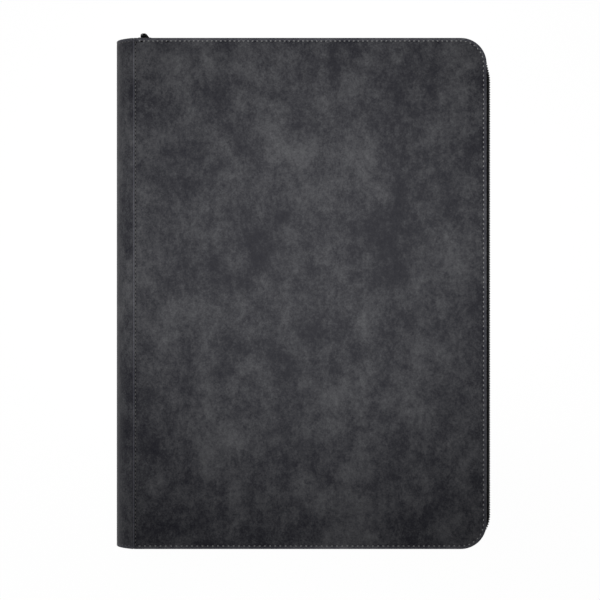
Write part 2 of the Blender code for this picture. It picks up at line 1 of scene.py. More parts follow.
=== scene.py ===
"""Looks of a zip-round card binder: charcoal suede-finish leather, light stitching, black zip."""

import math

import bmesh
import bpy
import numpy as np
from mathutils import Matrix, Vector


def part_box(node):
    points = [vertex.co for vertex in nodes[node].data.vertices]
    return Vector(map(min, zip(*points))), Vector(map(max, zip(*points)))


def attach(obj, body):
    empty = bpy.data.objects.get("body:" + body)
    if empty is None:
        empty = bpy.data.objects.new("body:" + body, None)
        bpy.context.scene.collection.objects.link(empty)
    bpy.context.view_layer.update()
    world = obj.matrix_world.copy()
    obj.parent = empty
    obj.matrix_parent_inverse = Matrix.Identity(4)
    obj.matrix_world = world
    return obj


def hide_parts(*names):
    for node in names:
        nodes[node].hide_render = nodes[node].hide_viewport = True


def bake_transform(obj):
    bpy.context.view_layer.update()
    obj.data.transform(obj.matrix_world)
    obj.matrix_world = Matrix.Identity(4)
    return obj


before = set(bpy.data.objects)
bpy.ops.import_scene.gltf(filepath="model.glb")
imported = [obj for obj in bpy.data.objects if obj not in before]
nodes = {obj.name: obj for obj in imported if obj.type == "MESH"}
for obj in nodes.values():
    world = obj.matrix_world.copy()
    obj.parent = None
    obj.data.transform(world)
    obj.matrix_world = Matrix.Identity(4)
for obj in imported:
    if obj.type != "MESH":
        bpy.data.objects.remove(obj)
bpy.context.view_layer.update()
MM = 0.001


# Cover leather
# Each cover is a stiff board wrapped in thin suede-finish leather. The leather is folded
# over the board's edge and glued down inside, and a line of stitching holds the fold.
front_low, front_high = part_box("front_skin")
back_low, back_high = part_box("back_skin")
SEAM_X, FORE_X = front_low.x, front_high.x
HEAD_Y = front_high.y
MIDDLE_Z = (front_high.z + back_low.z) / 2
COVER_DEPTH = front_high.z - front_low.z
FORE_CORNER = 21 * MM
SEAM_CORNER = 1.6 * MM
CORNER_STEPS = (5, 5, 20, 20)  # points round each corner, from the seam's tail end
SIDE_STEPS = (130, 90, 130, 90)  # points on the side after each corner
LEAST_CORNER = 0.25 * MM
EDGE_ROLL = 0.9 * MM
INNER_ROLL = 1.0 * MM
STITCH_INSET = 2.6 * MM
STITCH_FURROW = 0.28 * MM
FURROW_WIDTH = 0.55 * MM
TURN_IN = 12 * MM
FLAP_BEVEL = 0.3 * MM
PAD_CROWN = 0.14 * MM
CROWN_FADE = 6 * MM
EDGE_HIGHLIGHT_WIDTH = STITCH_INSET - 0.2 * MM  # width of the painted highlight along a turned edge
SEAM_HIGHLIGHT_WIDTH = 1.65 * MM  # and at the seam
RIM_FADE = 0.5 * MM
RIM_HIGHLIGHT_LEVEL = 46  # sRGB level of the painted highlight added there
BLUE_SHEEN = 0.0067  # painted sheen: linear blue added evenly to the leather's grey


def corner_loop(inset):
    """Closed outline of a cover drawn in by an inset, as (points, 2), clockwise from the seam's tail end.

    Four straight sides joined by quarter circles. A corner's radius is its own less the inset.
    """
    radii = np.maximum(np.array([SEAM_CORNER, SEAM_CORNER, FORE_CORNER, FORE_CORNER]) - inset, LEAST_CORNER)
    corner_x = np.array([SEAM_X + inset, SEAM_X + inset, FORE_X - inset, FORE_X - inset])
    corner_y = np.array([-HEAD_Y + inset, HEAD_Y - inset, HEAD_Y - inset, -HEAD_Y + inset])
    centre_x = corner_x + radii * np.array([1, 1, -1, -1])
    centre_y = corner_y + radii * np.array([1, -1, -1, 1])
    starts = np.array([-0.5, 1.0, 0.5, 0.0]) * math.pi
    arcs = []
    for i, count in enumerate(CORNER_STEPS):
        turn = starts[i] - np.linspace(0, math.pi / 2, count)
        arc = np.stack([centre_x[i] + radii[i] * np.cos(turn), centre_y[i] + radii[i] * np.sin(turn)], 1)
        arcs.append(arc)
    runs = []
    for i, count in enumerate(SIDE_STEPS):
        share = np.linspace(0, 1, count + 2)[1:-1, None]
        runs += [arcs[i], arcs[i][-1] * (1 - share) + arcs[(i + 1) % 4][0] * share]
    return np.concatenate(runs)


def grid_faces(rows, columns, wrap_columns=False):
    """Four-cornered faces of a grid of rows by columns of points, each row joined round where asked."""
    r = np.arange(rows - 1)[:, None] * columns
    c = np.arange(columns if wrap_columns else columns - 1)[None, :]
    c_next = (c + 1) % columns
    return np.stack([r + c, r + c_next, r + columns + c_next, r + columns + c], -1).reshape(-1, 4)


def tube_faces(rows, columns):
    """Faces of a closed tube: a grid with each row joined round, its first and last row capped."""
    cap = np.arange(columns)[None]
    return [grid_faces(rows, columns, wrap_columns=True), cap, cap + (rows - 1) * columns]


def put(name, points, faces, material, body=None, uv=None, marks=None, flat=False):
    """An object from an array of points and a list of face arrays, all faces turned outwards.

    uv gives each point a place on the flat cloth, in metres. marks are named values from 0 to 1 at each
    point, which the piece's material reads.
    """
    points = np.asarray(points, float).reshape(-1, 3)
    polygons = [row for array in faces for row in array.tolist()]
    mesh = bpy.data.meshes.new(name)
    mesh.from_pydata(points.tolist(), [], polygons)
    turner = bmesh.new()
    turner.from_mesh(mesh)
    bmesh.ops.recalc_face_normals(turner, faces=turner.faces)
    turner.to_mesh(mesh)
    turner.free()
    mesh.polygons.foreach_set("use_smooth", np.full(len(polygons), not flat))
    if uv is not None:
        layer = mesh.uv_layers.new(name="cloth")
        index = np.empty(len(mesh.loops), np.int32)
        mesh.loops.foreach_get("vertex_index", index)
        layer.data.foreach_set("uv", np.asarray(uv, float).reshape(-1, 2)[index].ravel())
    for mark, values in (marks or {}).items():
        attribute = mesh.attributes.new(mark, "FLOAT", "POINT")
        attribute.data.foreach_set("value", np.asarray(values, np.float32).ravel())
    mesh.materials.append(material)
    mesh.update()
    piece = bpy.data.objects.new(name, mesh)
    bpy.context.scene.collection.objects.link(piece)
    if body:
        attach(piece, body)
    return piece


def wrapped_profile():
    """Section of a wrapped cover as (inset, depth below the outer face), from the middle out, round and in.

    A flat field with a slight crown, a furrow at the stitching as a Gauss curve, a quarter-circle roll at
    the edge, a straight side, a second roll and the turned-in flap.
    """
    field = np.array([100, 60, 40, 30, 22, 16, 12, 9, 7, 5.6, 4.8, 4.2, 3.8, 3.5, 3.2, 2.9]) * MM
    edge = np.array([2.6, 2.3, 2.0, 1.75, 1.5, 1.25, 1.0]) * MM
    inset = np.concatenate([field, edge])
    crown = PAD_CROWN * np.exp(-inset / CROWN_FADE)
    furrow = STITCH_FURROW * np.exp(-(((inset - STITCH_INSET) / FURROW_WIDTH) ** 2))
    flat = np.stack([inset, crown + furrow], 1)
    turn = np.linspace(0.12, math.pi / 2, 7)
    roll = np.stack([EDGE_ROLL * (1 - np.sin(turn)), flat[-1, 1] + EDGE_ROLL * (1 - np.cos(turn))], 1)
    side = np.stack([np.zeros(3), np.linspace(1.6, COVER_DEPTH / MM - 1.1, 3) * MM], 1)
    under = np.linspace(0, math.pi / 2, 5)[1:]
    low_roll = INNER_ROLL * np.stack([1 - np.cos(under), np.sin(under) - 1], 1)
    flap = np.array([[4 * MM, 0], [TURN_IN, 0], [TURN_IN + FLAP_BEVEL, -FLAP_BEVEL]])
    return np.concatenate([flat, roll, side, low_roll + [0, COVER_DEPTH], flap + [0, COVER_DEPTH]])


def node_link(tree, source, target):
    """A wire from one socket to another."""
    tree.links.new(source, target)


def group_tree(name, inputs, outputs):
    """A shader node group with named float or colour sockets, its input and output nodes."""
    tree = bpy.data.node_groups.new(name, "ShaderNodeTree")
    for label, kind, value in inputs:
        socket = tree.interface.new_socket(label, in_out="INPUT", socket_type=kind)
        socket.default_value = value
    for label, kind in outputs:
        tree.interface.new_socket(label, in_out="OUTPUT", socket_type=kind)
    return tree, tree.nodes.new("NodeGroupInput"), tree.nodes.new("NodeGroupOutput")


def noise(tree, vector, scale, detail, roughness):
    """A noise texture on a vector socket, features per metre given by scale. Gives its value socket."""
    texture = tree.nodes.new("ShaderNodeTexNoise")
    texture.inputs["Scale"].default_value = scale
    texture.inputs["Detail"].default_value = detail
    texture.inputs["Roughness"].default_value = roughness
    node_link(tree, vector, texture.inputs["Vector"])
    return texture.outputs["Fac"]


def arithmetic(tree, operation, first, second, third=None):
    """A Math node. Each operand is a socket or a number. Gives its output socket."""
    node = tree.nodes.new("ShaderNodeMath")
    node.operation = operation
    for socket, value in zip(node.inputs, (first, second, third)):
        if isinstance(value, (int, float)):
            socket.default_value = value
        elif value is not None:
            node_link(tree, value, socket)
    return node.outputs[0]


def ramp(tree, factor, stops):
    """A colour ramp from (position, linear colour) stops. Gives its colour socket."""
    node = tree.nodes.new("ShaderNodeValToRGB")
    elements = node.color_ramp.elements
    while len(elements) < len(stops):
        elements.new(0.5)
    for element, (position, colour) in zip(elements, stops):
        element.position = position
        element.color = (*colour, 1.0)
    node_link(tree, factor, node.inputs["Fac"])
    return node.outputs["Color"]


def stretched(tree, scale):
    """Object coordinates with each axis multiplied, so that a pattern runs longer along a small one."""
    coordinates = tree.nodes.new("ShaderNodeTexCoord")
    mapping = tree.nodes.new("ShaderNodeMapping")
    mapping.inputs["Scale"].default_value = scale
    node_link(tree, coordinates.outputs["Object"], mapping.inputs["Vector"])
    return mapping.outputs["Vector"]


def grey(level):
    """Linear value of an sRGB level from 0 to 255."""
    share = level / 255
    return share / 12.92 if share <= 0.04045 else ((share + 0.055) / 1.055) ** 2.4


def charcoal(level):
    """Linear colour of the leather at an sRGB level: neutral grey with an even, faint painted blue sheen
    added.
    """
    return (0.993 * grey(level), grey(level), grey(level) + BLUE_SHEEN)


def cloudy_suede_group():
    """Cloudy nap: one noise nearly as strong at each size from hand to pinhead, and a fine one.

    Both are mixed by weight, and a ramp turns the mix into levels of charcoal. The first noise runs a
    little longer up the cover than across it.
    """
    tree, _, out = group_tree(
        "cloudy_suede",
        [],
        [("Colour", "NodeSocketColor"), ("Roughness", "NodeSocketFloat"), ("Height", "NodeSocketFloat")],
    )
    clouds = noise(tree, stretched(tree, (1, 0.74, 1)), 19, 6, 0.9)
    nap = noise(tree, stretched(tree, (1, 1, 1)), 750, 2, 0.8)
    mixed = arithmetic(tree, "MULTIPLY_ADD", clouds, 0.75, arithmetic(tree, "MULTIPLY", nap, 0.25))
    levels = [(0.34, 18), (0.446, 43.5), (0.5, 59.5), (0.554, 73.5), (0.62, 87), (0.68, 97)]
    colour = ramp(tree, mixed, [(position, charcoal(level)) for position, level in levels])
    node_link(tree, colour, out.inputs["Colour"])
    node_link(tree, arithmetic(tree, "MULTIPLY_ADD", mixed, 0.4, 0.32), out.inputs["Roughness"])
    pores = noise(tree, stretched(tree, (1, 1, 1)), 650, 4, 0.6)
    height = arithmetic(tree, "MULTIPLY_ADD", pores, 0.5, arithmetic(tree, "MULTIPLY", nap, 0.5))
    node_link(tree, height, out.inputs["Height"])
    return tree


def surface(name):
    """A new Principled material. Gives the material, its tree and its shader."""
    material = bpy.data.materials.new(name)
    material.use_nodes = True
    return material, material.node_tree, material.node_tree.nodes["Principled BSDF"]


def bump(tree, shader, height, distance, strength):
    """A bump on a shader's normal from a height socket, a distance in metres and a strength from 0 to 1."""
    node = tree.nodes.new("ShaderNodeBump")
    node.inputs["Distance"].default_value = distance
    node.inputs["Strength"].default_value = strength
    node_link(tree, height, node.inputs["Height"])
    node_link(tree, node.outputs["Normal"], shader.inputs["Normal"])


def use_group(tree, group):
    """A node that runs a shader node group."""
    node = tree.nodes.new("ShaderNodeGroup")
    node.node_tree = group
    return node


SUEDE = cloudy_suede_group()


def leather_material():
    """Charcoal leather with a short nap: cloudy colour, fine pores, and a painted highlight along turned
    edges and the seam.
    """
    material, tree, shader = surface("charcoal_leather")
    suede = use_group(tree, SUEDE)
    # Painted highlight: the rim mark adds a paler charcoal along the turned edges and the seam.
    rim = tree.nodes.new("ShaderNodeAttribute")
    rim.attribute_name = "rim"
    paler = tree.nodes.new("ShaderNodeMix")
    paler.data_type = "RGBA"
    paler.blend_type = "ADD"
    paler.inputs[7].default_value = (*charcoal(RIM_HIGHLIGHT_LEVEL), 1)
    node_link(tree, rim.outputs["Fac"], paler.inputs[0])
    node_link(tree, suede.outputs["Colour"], paler.inputs[6])
    node_link(tree, paler.outputs[2], shader.inputs["Base Color"])
    node_link(tree, suede.outputs["Roughness"], shader.inputs["Roughness"])
    bump(tree, shader, suede.outputs["Height"], 0.12 * MM, 0.6)
    shader.inputs["Specular IOR Level"].default_value = 0.1
    return material


LEATHER = leather_material()


def wrapped_cover(name, outer_z, inward, body, node):
    """A cover's leather: the wrapped profile carried round the outline, with both flat fields capped."""
    profile = wrapped_profile()
    loops = np.stack([corner_loop(inset) for inset, _ in profile])
    rows, columns = loops.shape[:2]
    heights = np.broadcast_to((outer_z + inward * profile[:, 1])[:, None, None], (rows, columns, 1))
    points = np.concatenate([loops, heights], 2)
    # Painted highlight: the rim mark lightens the leather along the turned edges and the seam.
    highlight_width = np.where(loops[..., 0] < SEAM_X + STITCH_INSET, SEAM_HIGHLIGHT_WIDTH, EDGE_HIGHLIGHT_WIDTH)
    rim = np.clip((highlight_width - profile[:, 0, None]) / RIM_FADE, 0, 1)
    piece = put(name, points, tube_faces(rows, columns), LEATHER, body, marks={"rim": rim})
    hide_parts(node)


wrapped_cover("front_cover_leather", front_high.z, -1, "front_cover", "front_skin")
wrapped_cover("back_cover_leather", back_low.z, 1, "back_cover", "back_skin")


# Cover stitching
# Pale grey polyester thread sewn by machine: one line round the head, fore-edge and tail, its
# stitches growing longer on the way, and a closer line along the seam. Needle holes lie between.
EDGE_PITCH = 3.95 * MM
EDGE_GROWTH = 0.08
EDGE_STITCH = 1.6 * MM
SEAM_PITCH = 3.2 * MM
SEAM_STITCH = 1.5 * MM
SEAM_INSET = 2.3 * MM
EDGE_THREAD = 0.54 * MM
SEAM_THREAD = 0.36 * MM
THREAD_LIFT = 0.2 * MM
THREAD_SINK = 0.12 * MM
THREAD_END_SINK = 0.3 * MM
HOLE_RADIUS = 0.36 * MM
HOLE_RISE = 0.02 * MM
HOLE_SINK = 0.1 * MM
WIDE_HOLE_SINK = 0.06 * MM
EDGE_DIP = STITCH_FURROW + 0.1 * MM
SEAM_DIP = 0.2 * MM
EDGE_START = 5 * MM
SEAM_START = 4 * MM
WIDE_HOLES = MM * np.array([(2.4, 3.9), (7.2, 3.1), (28.3, 3.1)])  # distances from seam and head


def stitch_part(length, radius, lift):
    """One stitch: seven rings of six points on a shallow arch, thinner at both ends, closed on a pole."""
    share = np.linspace(-1, 1, 7)[:, None]
    turn = np.arange(6)[None] * math.pi / 3
    thick = radius * np.sqrt(1 - 0.7 * share**2)
    rings = np.stack(
        np.broadcast_arrays(
            share * length / 2,
            thick * np.cos(turn),
            lift * (1 - share**2) - THREAD_SINK + 0.85 * thick * np.sin(turn),
        ),
        -1,
    ).reshape(-1, 3)
    poles = np.array([[-length * 0.53, 0, -THREAD_END_SINK], [length * 0.53, 0, -THREAD_END_SINK]])
    ring = np.arange(6)
    near = np.stack([np.full(6, 42), (ring + 1) % 6, ring], 1)
    far = np.stack([np.full(6, 43), 36 + ring, 36 + (ring + 1) % 6], 1)
    return np.concatenate([rings, poles]), [grid_faces(7, 6, wrap_columns=True), near, far]


def hole_part(radius):
    """One needle hole: a flat disc with eight corners and a slight rim, painted dark as the shade in the
    hole.
    """
    turn = np.arange(8) * math.pi / 4
    top = np.stack([radius * 1.3 * np.cos(turn), radius * np.sin(turn), np.full(8, HOLE_RISE)], 1)
    foot = top * np.array([1, 1, 0]) - np.array([0, 0, HOLE_SINK])
    return np.concatenate([foot, top]), tube_faces(2, 8)


def spread(part, places, along, up):
    """Copies of a small part, one at each place: its first axis turned along, its third up."""
    points, faces = part
    axes = np.stack([along, np.cross(up, along), up], 1)
    copies = places[:, None] + np.einsum("pk,nkx->npx", points, axes)
    shift = (np.arange(len(places)) * len(points))[:, None, None]
    return copies.reshape(-1, 3), [(face[None] + shift).reshape(-1, face.shape[1]) for face in faces]


def run_along(line):
    """Length along a line of points from its start to each of them."""
    return np.concatenate([[0], np.cumsum(np.linalg.norm(np.diff(line, axis=0), axis=1))])


def even_places(line, pitch, end=0.0, growth=0.0):
    """Places and unit directions at steps along a line of points, some length left at its end.

    Growth is the share by which the last step is longer, and the first one shorter, than the pitch.
    """
    run = run_along(line)
    share = np.linspace(0, 1, int((run[-1] - end) / pitch) + 1)
    at = (run[-1] - end) * (share + growth * (share**2 - share))

    def point_at(length):
        return np.stack([np.interp(length, run, line[:, axis]) for axis in range(3)], 1)

    ahead = point_at(at + 0.1 * MM) - point_at(at - 0.1 * MM)
    return point_at(at), ahead / np.linalg.norm(ahead, axis=1, keepdims=True)


def plain_material(name, level, roughness, specular):
    """One even grey from an sRGB level."""
    material, _, shader = surface(name)
    shader.inputs["Base Color"].default_value = (*(grey(level),) * 3, 1)
    shader.inputs["Roughness"].default_value = roughness
    shader.inputs["Specular IOR Level"].default_value = specular
    return material


PALE_THREAD = plain_material("pale_thread", 146, 0.7, 0.2)
GREY_THREAD = plain_material("grey_thread", 104, 0.7, 0.2)
# Needle holes are flat discs painted dark, standing in for the shade inside the holes.
HOLE_SHADE = plain_material("needle_hole_shade", 24, 0.9, 0.1)


def stitch_line(name, line, outward, pitch, length, thread, material, body, growth=0.0):
    """A line of stitches along points on a surface, with a needle hole between each two.

    outward gives the surface's unit direction at an array of places.
    """
    places, along = even_places(line, pitch, growth=growth)
    up = outward(places)
    points, faces = spread(stitch_part(length, thread, THREAD_LIFT), places, along, up)
    put(name, points, faces, material, body)
    between = (places[1:] + places[:-1]) / 2
    points, faces = spread(hole_part(HOLE_RADIUS), between, along[:-1], up[:-1])
    put(name + "_holes", points, faces, HOLE_SHADE, body)


def cover_stitching(name, surface_z, side, body):
    """Both lines of stitching on a cover's outer face, and the wide holes where sewing began.

    The edge line follows the outline drawn in, from seam to seam. The seam line is straight.
    """
    loop = corner_loop(STITCH_INSET)
    edge = loop[loop[:, 0] > SEAM_X + EDGE_START]
    edge = np.column_stack([edge, np.full(len(edge), surface_z - side * EDGE_DIP)])
    seam = np.empty((60, 3))
    seam[:] = SEAM_X + SEAM_INSET, 0, surface_z - side * SEAM_DIP
    seam[:, 1] = np.linspace(-HEAD_Y + SEAM_START, HEAD_Y - SEAM_START, 60)

    def outward(places):
        return np.broadcast_to(np.array([0, 0, side], float), places.shape)

    edge_sizes = (EDGE_PITCH, EDGE_STITCH, EDGE_THREAD)
    seam_sizes = (SEAM_PITCH, SEAM_STITCH, SEAM_THREAD)
    stitch_line(name + "_edge_stitches", edge, outward, *edge_sizes, PALE_THREAD, body, EDGE_GROWTH)
    stitch_line(name + "_seam_stitches", seam, outward, *seam_sizes, GREY_THREAD, body)
    wide = np.full((len(WIDE_HOLES), 3), surface_z - side * WIDE_HOLE_SINK)
    wide[:, 0] = SEAM_X + WIDE_HOLES[:, 0]
    wide[:, 1] = HEAD_Y - WIDE_HOLES[:, 1]
    along = np.broadcast_to(np.array([1.0, 0, 0]), wide.shape)
    points, faces = spread(hole_part(2 * HOLE_RADIUS), wide, along, outward(wide))
    put(name + "_wide_holes", points, faces, HOLE_SHADE, body)


cover_stitching("front_cover", front_high.z, 1, "front_cover")
cover_stitching("back_cover", back_low.z, -1, "back_cover")


# Spine leather
# The same leather bowed round the curved spine board, turned in at head and tail and sewn
# there. It is in two halves, each ending in a short tuck towards its cover's edge.
spine_low, spine_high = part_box("spine_skin")
SPINE_CHORD = (spine_high.z - spine_low.z) / 2
SPINE_BOW = spine_high.x - spine_low.x
SPINE_RADIUS = (SPINE_CHORD**2 + SPINE_BOW**2) / (2 * SPINE_BOW)
SPINE_CENTRE = spine_low.x + SPINE_RADIUS
SPINE_ANGLE = math.asin(SPINE_CHORD / SPINE_RADIUS)
SPINE_LEATHER = 1.0 * MM
SPINE_FURROW_WIDTH = 0.5 * MM
SPINE_TUCK = 1.1 * MM
TUCK_DROP = 1.87 * MM
PARED_SHARE = 0.4
LIP_THICK = 1.6 * MM
LIP_DEPTH = 3.5 * MM


def spine_wrap():
    """The leather's way from tail to head and back inside: a closed line of y and depth in the leather.

    The outer face has a furrow at the end stitches. At both ends the leather is folded down in a lip that
    covers the end of the board, with a quarter circle at its top and a half circle at its bottom.
    """
    from_end = np.array([0.5, 0.9, 1.4, 1.8, 2.1, 2.35, 2.6, 2.85, 3.1, 3.5, 4.5, 8, 30, 80, 140]) * MM
    furrow = STITCH_FURROW * np.exp(-(((from_end - STITCH_INSET) / SPINE_FURROW_WIDTH) ** 2))
    half_y = HEAD_Y - from_end
    outer = np.stack([np.append(-half_y, half_y[::-1]), np.append(furrow, furrow[::-1])], 1)
    quarter = np.linspace(0, math.pi / 2, 4)[1:]
    half = np.linspace(0, math.pi, 7)
    round_top = from_end[0] * np.stack([1 - np.sin(quarter), 1 - np.cos(quarter)], 1)
    round_bottom = LIP_THICK / 2 * np.stack([1 - np.cos(half), np.sin(half) - 1], 1) + [0, LIP_DEPTH]
    inside = np.array([[LIP_THICK, SPINE_LEATHER], [80 * MM, SPINE_LEATHER], [140 * MM, SPINE_LEATHER]])
    head = np.concatenate([round_top, round_bottom, inside]) * [-1, 1] + [HEAD_Y, 0]
    return np.concatenate([outer, head, head[::-1] * [-1, 1]])


def spine_half(name, side):
    """Half of the spine's leather: an arc from the middle to one edge, then a short tuck towards the cover.

    The leather is pared thinner along the last of the arc, where it bends.
    """
    wrap = spine_wrap()
    share = np.concatenate([np.linspace(0, 0.9, 24), np.linspace(0.9, 1, 14)[1:]])
    turn = share * SPINE_ANGLE
    pared = np.interp(share, [0.85, 0.97], [1, PARED_SHARE])
    radius = SPINE_RADIUS - wrap[:, 1][None] * pared[:, None]
    arc_x = SPINE_CENTRE - radius * np.cos(turn)[:, None]
    arc_z = radius * np.sin(turn)[:, None]
    step = np.array([0.35, 0.7, 1.0])[:, None]
    tuck_x = arc_x[-1] + SPINE_TUCK * step * math.cos(0.9 * SPINE_ANGLE)
    tuck_z = arc_z[-1] - TUCK_DROP * step**2
    x = np.concatenate([arc_x, tuck_x])
    z = np.concatenate([arc_z, tuck_z])
    y = np.broadcast_to(wrap[:, 0], x.shape)
    points = np.stack([x, y, MIDDLE_Z + side * z], -1)
    faces = tube_faces(*x.shape)
    # Painted highlight along the turned head and tail edges.
    from_end = HEAD_Y - np.abs(wrap[:, 0])
    rim = np.clip((EDGE_HIGHLIGHT_WIDTH - from_end) / RIM_FADE, 0, 1)
    piece = put(name, points, faces, LEATHER, marks={"rim": np.tile(rim, len(x))})
    if side > 0:
        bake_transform(piece)
    else:
        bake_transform(piece)
    return piece


front_half = spine_half("spine_leather_front", 1)
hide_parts("spine_skin")
spine_half("spine_leather_back", -1)


def spine_stitches(name, end):
    """Stitches on an arc round the spine, sunk in the furrow at one end, facing out from its centre."""
    reach = SPINE_RADIUS - STITCH_FURROW
    turn = np.linspace(-0.88, 0.88, 60) * SPINE_ANGLE
    line = np.stack(
        [
            SPINE_CENTRE - reach * np.cos(turn),
            np.full(60, end * (HEAD_Y - STITCH_INSET)),
            MIDDLE_Z + reach * np.sin(turn),
        ],
        1,
    )

    def outward(places):
        return (places - np.array([SPINE_CENTRE, 0, MIDDLE_Z])) * np.array([1, 0, 1]) / reach

    stitch_line(name, line, outward, EDGE_PITCH, EDGE_STITCH, SEAM_THREAD, GREY_THREAD, "spine")


spine_stitches("spine_head_stitches", 1)
spine_stitches("spine_tail_stitches", -1)


# Boards
# Grey pressed board stiffens both covers and, bent, the spine. Leather and linings are folded
# over its edges.
def board_material():
    """Grey-brown pulp with short paler fibres, from stretched noise."""
    material, tree, shader = surface("pressed_board")
    fibres = noise(tree, stretched(tree, (1, 0.3, 1)), 900, 3, 0.6)
    pulp = ramp(tree, fibres, [(0.35, (0.17, 0.15, 0.125)), (0.65, (0.29, 0.265, 0.23))])
    node_link(tree, pulp, shader.inputs["Base Color"])
    shader.inputs["Roughness"].default_value = 0.85
    return material


BOARD = board_material()


def finish_node(node, material):
    """A CAD node kept as it is, with its finish."""
    nodes[node].data.materials.clear()
    nodes[node].data.materials.append(material)


finish_node("front_board", BOARD)
finish_node("back_board", BOARD)
finish_node("spine_board", BOARD)


# Cloth linings
# Fine black plain-weave cloth glued over the boards and the leather's turned-in flaps. The
# spine's own cloth is turned over both edges of its board.
LINING_INSET = 8 * MM
WEAVE_PITCH = 0.7 * MM
SPINE_CLOTH = 0.5 * MM
EDGE_CLOTH = 0.12 * MM
EDGE_CLOTH_OUT = 0.08 * MM
EDGE_CLOTH_STOP = 1.6 * MM
RIBBON_STEPS = 24


def weave_group():
    """Plain weave: of two crossing rows of round threads, the one on top changes at each crossing.

    A thread's height is the size of a sine across it. The product of both sines says which is on top.
    """
    tree, given, out = group_tree(
        "plain_weave",
        [("Vector", "NodeSocketVector", (0, 0, 0)), ("Pitch", "NodeSocketFloat", WEAVE_PITCH)],
        [("Height", "NodeSocketFloat"), ("Fleck", "NodeSocketFloat")],
    )
    parts = tree.nodes.new("ShaderNodeSeparateXYZ")
    node_link(tree, given.outputs["Vector"], parts.inputs[0])
    pace = arithmetic(tree, "DIVIDE", math.pi, given.outputs["Pitch"])
    warp = arithmetic(tree, "SINE", arithmetic(tree, "MULTIPLY", parts.outputs[0], pace), 0)
    weft = arithmetic(tree, "SINE", arithmetic(tree, "MULTIPLY", parts.outputs[1], pace), 0)
    on_top = arithmetic(tree, "GREATER_THAN", arithmetic(tree, "MULTIPLY", warp, weft), 0)
    warp_height = arithmetic(tree, "ABSOLUTE", warp, 0)
    weft_height = arithmetic(tree, "ABSOLUTE", weft, 0)
    higher = arithmetic(tree, "MULTIPLY", warp_height, on_top)
    lower = arithmetic(tree, "MULTIPLY", weft_height, arithmetic(tree, "SUBTRACT", 1.0, on_top))
    node_link(tree, arithmetic(tree, "ADD", higher, lower), out.inputs["Height"])
    fleck = noise(tree, given.outputs["Vector"], 260, 3, 0.6)
    node_link(tree, fleck, out.inputs["Fleck"])
    return tree


WEAVE = weave_group()


def cloth_material(name, dark, pale, pitch, from_uv):
    """Woven cloth between two sRGB levels, the weave on flat coordinates or on the object's own."""
    material, tree, shader = surface(name)
    coordinates = tree.nodes.new("ShaderNodeUVMap" if from_uv else "ShaderNodeTexCoord")
    weave = use_group(tree, WEAVE)
    weave.inputs["Pitch"].default_value = pitch
    node_link(tree, coordinates.outputs["UV" if from_uv else "Object"], weave.inputs["Vector"])
    # Painted shade: the weave's height makes thread crowns paler and the hollows between them darker; the
    # flecks are random tone.
    shade = arithmetic(tree, "MULTIPLY_ADD", weave.outputs["Fleck"], 0.5, weave.outputs["Height"])
    colour = ramp(tree, shade, [(0.2, (grey(dark),) * 3), (1.0, (grey(pale),) * 3)])
    node_link(tree, colour, shader.inputs["Base Color"])
    shader.inputs["Roughness"].default_value = 0.85
    shader.inputs["Specular IOR Level"].default_value = 0.2
    bump(tree, shader, weave.outputs["Height"], 0.1 * MM, 0.7)
    return material


LINING_CLOTH = cloth_material("lining_cloth", 30, 56, WEAVE_PITCH, False)


def cover_lining(name, inner_z, inward, body, node):
    """A flat panel of cloth inside a cover: the cover's outline drawn in, with a rounded edge."""
    profile = np.array([[0, -0.05], [0, 0.15], [0.15, 0.3], [0.4, 0.35], [1.5, 0.35], [60, 0.35]]) * MM
    loops = np.stack([corner_loop(LINING_INSET + inset) for inset in profile[:, 0]])
    rows, columns = loops.shape[:2]
    heights = np.broadcast_to((inner_z + inward * profile[:, 1])[:, None, None], (rows, columns, 1))
    points = np.concatenate([loops, heights], 2)
    piece = put(name, points, tube_faces(rows, columns), LINING_CLOTH, body)
    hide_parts(node)


cover_lining("front_lining_cloth", front_low.z, -1, "front_cover", "front_lining")
cover_lining("back_lining_cloth", back_high.z, 1, "back_cover", "back_lining")

lining_low, lining_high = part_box("spine_lining")
comb_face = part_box("page_comb")[1].x


def ribbon(line, half_width, thickness):
    """A cloth ribbon from tail to head: a line of (x, z) points in its middle, with a thickness at each.

    The closed section is the line shifted to both sides along its own normals. Flat coordinates run
    with it.
    """
    ahead = np.gradient(line, axis=0)
    normal = np.stack([-ahead[:, 1], ahead[:, 0]], 1) / np.linalg.norm(ahead, axis=1, keepdims=True)
    section = np.concatenate([line + normal * thickness / 2, (line - normal * thickness / 2)[::-1]])
    run = run_along(line)
    y = np.linspace(-half_width, half_width, RIBBON_STEPS)[:, None]
    points = np.stack(np.broadcast_arrays(section[None, :, 0], y, section[None, :, 1]), -1)
    uv = np.stack(np.broadcast_arrays(np.concatenate([run, run[::-1]])[None], y), -1)
    return points, tube_faces(RIBBON_STEPS, len(section)), uv, run[-1]


RIBBON_CLOTH = cloth_material("ribbon_cloth", 30, 56, WEAVE_PITCH, True)


def spine_cloth():
    """The spine's lining: an arc inside the spine board, thin where it is turned over the board's edges."""
    radius = SPINE_CENTRE - lining_low.x - SPINE_CLOTH / 2
    reach = math.asin((lining_high.z - lining_low.z) / 2 / (radius + SPINE_CLOTH / 2))
    turn = np.linspace(-reach, reach, 40)
    arc = np.stack([SPINE_CENTRE - radius * np.cos(turn), MIDDLE_Z + radius * np.sin(turn)], 1)
    rise = np.linspace(arc[-1, 1] + 0.5 * MM, spine_high.z - EDGE_CLOTH_STOP, 4)
    upper = np.column_stack([np.full(4, comb_face + EDGE_CLOTH_OUT), rise])
    lower = np.column_stack([upper[:, 0], 2 * MIDDLE_Z - rise])[::-1]
    thickness = np.repeat([EDGE_CLOTH, SPINE_CLOTH, EDGE_CLOTH], [4, 40, 4])[:, None]
    points, faces, uv, width = ribbon(np.concatenate([lower, arc, upper]), lining_high.y, thickness)
    piece = put("spine_lining_cloth", points, faces, RIBBON_CLOTH, "spine", uv=uv)
    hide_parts("spine_lining")


spine_cloth()


